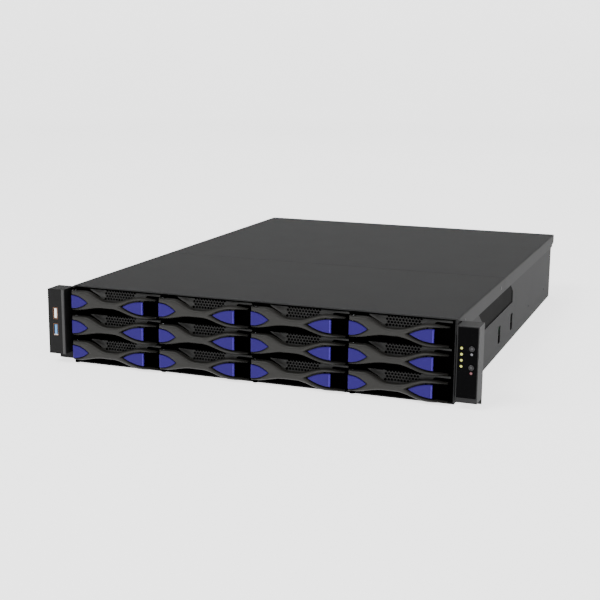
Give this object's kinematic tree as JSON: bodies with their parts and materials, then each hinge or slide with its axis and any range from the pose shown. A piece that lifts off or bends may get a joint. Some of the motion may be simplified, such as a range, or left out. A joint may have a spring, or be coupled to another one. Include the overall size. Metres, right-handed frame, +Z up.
{
  "type": "rack storage server",
  "caption": "Two-unit rack storage server with rows of front hot-swap drive trays, bow-tie levers, blue latches, control ear, USB ear and a plain grey sheet-metal case.",
  "frame": {"origin": "middle of the chassis underside, on the plane of the rack flanges' back faces", "axes": "+X to the right seen from the front, +Y towards the rear, +Z up"},
  "size_m": [0.4826, 0.614, 0.0875],
  "materials": {
    "chassis_paint": "satin grey paint",
    "cover_paint": "satin dark grey paint",
    "cage_steel": "zinc-plated sheet",
    "board_green": "solder mask on glass-fibre board",
    "fan_black": "moulded black plastic",
    "port_metal": "bright nickel-plated shell",
    "supply_metal": "plain metal case",
    "latch_green": "moulded green plastic",
    "ear_black": "fine-textured black plastic",
    "ear_grey": "satin grey paint",
    "panel_black": "smooth black plastic",
    "lens_green": "lit indicator lens",
    "button_black": "smooth dark plastic",
    "screw_black": "blackened steel",
    "bezel_dark": "dark moulded plastic",
    "lever_grey": "semi-gloss warm grey plastic",
    "touch_blue": "semi-gloss violet-blue plastic"
  },
  "bodies": {
    "chassis": {"chassis_tub": "chassis_paint", "front_cover": "cover_paint", "drive_cage": "cage_steel", "backplane": "board_green", "fan_wall": "fan_black", "motherboard": "board_green", "rear_panel": "chassis_paint", "rear_ports": "port_metal", "left_ear": "ear_black", "right_ear": "ear_grey", "usb_ports": "port_metal", "control_panel": "panel_black", "indicator_lenses": "lens_green", "fasteners": "screw_black"},
    "lid": {"rear_lid": "cover_paint"},
    "fan_rotor_1": {"fan_rotor_1": "fan_black"},
    "fan_rotor_2": {"fan_rotor_2": "fan_black"},
    "fan_rotor_3": {"fan_rotor_3": "fan_black"},
    "power_supply_1": {"power_supply_1": "supply_metal"},
    "supply_latch_1": {"supply_latch_1": "latch_green"},
    "power_supply_2": {"power_supply_2": "supply_metal"},
    "supply_latch_2": {"supply_latch_2": "latch_green"},
    "power_button": {"power_button": "button_black"},
    "identify_button": {"identify_button": "button_black"},
    "tray_1_1": {"tray_1_1": "bezel_dark"},
    "lever_1_1": {"lever_1_1": "lever_grey"},
    "release_latch_1_1": {"release_latch_1_1": "touch_blue"},
    "tray_1_2": {"tray_1_2": "bezel_dark"},
    "lever_1_2": {"lever_1_2": "lever_grey"},
    "release_latch_1_2": {"release_latch_1_2": "touch_blue"},
    "tray_1_3": {"tray_1_3": "bezel_dark"},
    "lever_1_3": {"lever_1_3": "lever_grey"},
    "release_latch_1_3": {"release_latch_1_3": "touch_blue"},
    "tray_1_4": {"tray_1_4": "bezel_dark"},
    "lever_1_4": {"lever_1_4": "lever_grey"},
    "release_latch_1_4": {"release_latch_1_4": "touch_blue"},
    "tray_2_1": {"tray_2_1": "bezel_dark"},
    "lever_2_1": {"lever_2_1": "lever_grey"},
    "release_latch_2_1": {"release_latch_2_1": "touch_blue"},
    "tray_2_2": {"tray_2_2": "bezel_dark"},
    "lever_2_2": {"lever_2_2": "lever_grey"},
    "release_latch_2_2": {"release_latch_2_2": "touch_blue"},
    "tray_2_3": {"tray_2_3": "bezel_dark"},
    "lever_2_3": {"lever_2_3": "lever_grey"},
    "release_latch_2_3": {"release_latch_2_3": "touch_blue"},
    "tray_2_4": {"tray_2_4": "bezel_dark"},
    "lever_2_4": {"lever_2_4": "lever_grey"},
    "release_latch_2_4": {"release_latch_2_4": "touch_blue"},
    "tray_3_1": {"tray_3_1": "bezel_dark"},
    "lever_3_1": {"lever_3_1": "lever_grey"},
    "release_latch_3_1": {"release_latch_3_1": "touch_blue"},
    "tray_3_2": {"tray_3_2": "bezel_dark"},
    "lever_3_2": {"lever_3_2": "lever_grey"},
    "release_latch_3_2": {"release_latch_3_2": "touch_blue"},
    "tray_3_3": {"tray_3_3": "bezel_dark"},
    "lever_3_3": {"lever_3_3": "lever_grey"},
    "release_latch_3_3": {"release_latch_3_3": "touch_blue"},
    "tray_3_4": {"tray_3_4": "bezel_dark"},
    "lever_3_4": {"lever_3_4": "lever_grey"},
    "release_latch_3_4": {"release_latch_3_4": "touch_blue"}
  },
  "joints": [
    {"name": "lid_slide", "type": "slide", "parent": "chassis", "child": "lid", "axis": [0, 1, 0], "range_m": [0, 0.36]},
    {"name": "fan_spin_1", "type": "hinge", "parent": "chassis", "child": "fan_rotor_1", "pos_m": [-0.128, 0.1962, 0.0427], "axis": [0, 1, 0], "continuous": true},
    {"name": "fan_spin_2", "type": "hinge", "parent": "chassis", "child": "fan_rotor_2", "pos_m": [0, 0.1962, 0.0427], "axis": [0, 1, 0], "continuous": true},
    {"name": "fan_spin_3", "type": "hinge", "parent": "chassis", "child": "fan_rotor_3", "pos_m": [0.128, 0.1962, 0.0427], "axis": [0, 1, 0], "continuous": true},
    {"name": "supply_slide_1", "type": "slide", "parent": "chassis", "child": "power_supply_1", "axis": [0, 1, 0], "range_m": [0, 0.2]},
    {"name": "supply_latch_slide_1", "type": "slide", "parent": "power_supply_1", "child": "supply_latch_1", "axis": [-1, 0, 0], "range_m": [0, 0.003], "stiffness_N_per_m": 300},
    {"name": "supply_slide_2", "type": "slide", "parent": "chassis", "child": "power_supply_2", "axis": [0, 1, 0], "range_m": [0, 0.2]},
    {"name": "supply_latch_slide_2", "type": "slide", "parent": "power_supply_2", "child": "supply_latch_2", "axis": [-1, 0, 0], "range_m": [0, 0.003], "stiffness_N_per_m": 300},
    {"name": "power_button_press", "type": "slide", "parent": "chassis", "child": "power_button", "axis": [0, 1, 0], "range_m": [0, 0.0008], "stiffness_N_per_m": 150},
    {"name": "identify_button_press", "type": "slide", "parent": "chassis", "child": "identify_button", "axis": [0, 1, 0], "range_m": [0, 0.0008], "stiffness_N_per_m": 150},
    {"name": "tray_slide_1_1", "type": "slide", "parent": "chassis", "child": "tray_1_1", "axis": [0, -1, 0], "range_m": [0, 0.185]},
    {"name": "lever_swing_1_1", "type": "hinge", "parent": "tray_1_1", "child": "lever_1_1", "pos_m": [-0.2101, -0.0155, 0.07215], "axis": [0, 0, -1], "range_deg": [0, 60]},
    {"name": "latch_press_1_1", "type": "slide", "parent": "lever_1_1", "child": "release_latch_1_1", "axis": [-1, 0, 0], "range_m": [0, 0.002], "stiffness_N_per_m": 200},
    {"name": "tray_slide_1_2", "type": "slide", "parent": "chassis", "child": "tray_1_2", "axis": [0, -1, 0], "range_m": [0, 0.185]},
    {"name": "lever_swing_1_2", "type": "hinge", "parent": "tray_1_2", "child": "lever_1_2", "pos_m": [-0.10305, -0.0155, 0.07215], "axis": [0, 0, -1], "range_deg": [0, 60]},
    {"name": "latch_press_1_2", "type": "slide", "parent": "lever_1_2", "child": "release_latch_1_2", "axis": [-1, 0, 0], "range_m": [0, 0.002], "stiffness_N_per_m": 200},
    {"name": "tray_slide_1_3", "type": "slide", "parent": "chassis", "child": "tray_1_3", "axis": [0, -1, 0], "range_m": [0, 0.185]},
    {"name": "lever_swing_1_3", "type": "hinge", "parent": "tray_1_3", "child": "lever_1_3", "pos_m": [0.004, -0.0155, 0.07215], "axis": [0, 0, -1], "range_deg": [0, 60]},
    {"name": "latch_press_1_3", "type": "slide", "parent": "lever_1_3", "child": "release_latch_1_3", "axis": [-1, 0, 0], "range_m": [0, 0.002], "stiffness_N_per_m": 200},
    {"name": "tray_slide_1_4", "type": "slide", "parent": "chassis", "child": "tray_1_4", "axis": [0, -1, 0], "range_m": [0, 0.185]},
    {"name": "lever_swing_1_4", "type": "hinge", "parent": "tray_1_4", "child": "lever_1_4", "pos_m": [0.11105, -0.0155, 0.07215], "axis": [0, 0, -1], "range_deg": [0, 60]},
    {"name": "latch_press_1_4", "type": "slide", "parent": "lever_1_4", "child": "release_latch_1_4", "axis": [-1, 0, 0], "range_m": [0, 0.002], "stiffness_N_per_m": 200},
    {"name": "tray_slide_2_1", "type": "slide", "parent": "chassis", "child": "tray_2_1", "axis": [0, -1, 0], "range_m": [0, 0.185]},
    {"name": "lever_swing_2_1", "type": "hinge", "parent": "tray_2_1", "child": "lever_2_1", "pos_m": [-0.2101, -0.0155, 0.04385], "axis": [0, 0, -1], "range_deg": [0, 60]},
    {"name": "latch_press_2_1", "type": "slide", "parent": "lever_2_1", "child": "release_latch_2_1", "axis": [-1, 0, 0], "range_m": [0, 0.002], "stiffness_N_per_m": 200},
    {"name": "tray_slide_2_2", "type": "slide", "parent": "chassis", "child": "tray_2_2", "axis": [0, -1, 0], "range_m": [0, 0.185]},
    {"name": "lever_swing_2_2", "type": "hinge", "parent": "tray_2_2", "child": "lever_2_2", "pos_m": [-0.10305, -0.0155, 0.04385], "axis": [0, 0, -1], "range_deg": [0, 60]},
    {"name": "latch_press_2_2", "type": "slide", "parent": "lever_2_2", "child": "release_latch_2_2", "axis": [-1, 0, 0], "range_m": [0, 0.002], "stiffness_N_per_m": 200},
    {"name": "tray_slide_2_3", "type": "slide", "parent": "chassis", "child": "tray_2_3", "axis": [0, -1, 0], "range_m": [0, 0.185]},
    {"name": "lever_swing_2_3", "type": "hinge", "parent": "tray_2_3", "child": "lever_2_3", "pos_m": [0.004, -0.0155, 0.04385], "axis": [0, 0, -1], "range_deg": [0, 60]},
    {"name": "latch_press_2_3", "type": "slide", "parent": "lever_2_3", "child": "release_latch_2_3", "axis": [-1, 0, 0], "range_m": [0, 0.002], "stiffness_N_per_m": 200},
    {"name": "tray_slide_2_4", "type": "slide", "parent": "chassis", "child": "tray_2_4", "axis": [0, -1, 0], "range_m": [0, 0.185]},
    {"name": "lever_swing_2_4", "type": "hinge", "parent": "tray_2_4", "child": "lever_2_4", "pos_m": [0.11105, -0.0155, 0.04385], "axis": [0, 0, -1], "range_deg": [0, 60]},
    {"name": "latch_press_2_4", "type": "slide", "parent": "lever_2_4", "child": "release_latch_2_4", "axis": [-1, 0, 0], "range_m": [0, 0.002], "stiffness_N_per_m": 200},
    {"name": "tray_slide_3_1", "type": "slide", "parent": "chassis", "child": "tray_3_1", "axis": [0, -1, 0], "range_m": [0, 0.185]},
    {"name": "lever_swing_3_1", "type": "hinge", "parent": "tray_3_1", "child": "lever_3_1", "pos_m": [-0.2101, -0.0155, 0.01555], "axis": [0, 0, -1], "range_deg": [0, 60]},
    {"name": "latch_press_3_1", "type": "slide", "parent": "lever_3_1", "child": "release_latch_3_1", "axis": [-1, 0, 0], "range_m": [0, 0.002], "stiffness_N_per_m": 200},
    {"name": "tray_slide_3_2", "type": "slide", "parent": "chassis", "child": "tray_3_2", "axis": [0, -1, 0], "range_m": [0, 0.185]},
    {"name": "lever_swing_3_2", "type": "hinge", "parent": "tray_3_2", "child": "lever_3_2", "pos_m": [-0.10305, -0.0155, 0.01555], "axis": [0, 0, -1], "range_deg": [0, 60]},
    {"name": "latch_press_3_2", "type": "slide", "parent": "lever_3_2", "child": "release_latch_3_2", "axis": [-1, 0, 0], "range_m": [0, 0.002], "stiffness_N_per_m": 200},
    {"name": "tray_slide_3_3", "type": "slide", "parent": "chassis", "child": "tray_3_3", "axis": [0, -1, 0], "range_m": [0, 0.185]},
    {"name": "lever_swing_3_3", "type": "hinge", "parent": "tray_3_3", "child": "lever_3_3", "pos_m": [0.004, -0.0155, 0.01555], "axis": [0, 0, -1], "range_deg": [0, 60]},
    {"name": "latch_press_3_3", "type": "slide", "parent": "lever_3_3", "child": "release_latch_3_3", "axis": [-1, 0, 0], "range_m": [0, 0.002], "stiffness_N_per_m": 200},
    {"name": "tray_slide_3_4", "type": "slide", "parent": "chassis", "child": "tray_3_4", "axis": [0, -1, 0], "range_m": [0, 0.185]},
    {"name": "lever_swing_3_4", "type": "hinge", "parent": "tray_3_4", "child": "lever_3_4", "pos_m": [0.11105, -0.0155, 0.01555], "axis": [0, 0, -1], "range_deg": [0, 60]},
    {"name": "latch_press_3_4", "type": "slide", "parent": "lever_3_4", "child": "release_latch_3_4", "axis": [-1, 0, 0], "range_m": [0, 0.002], "stiffness_N_per_m": 200}
  ]
}
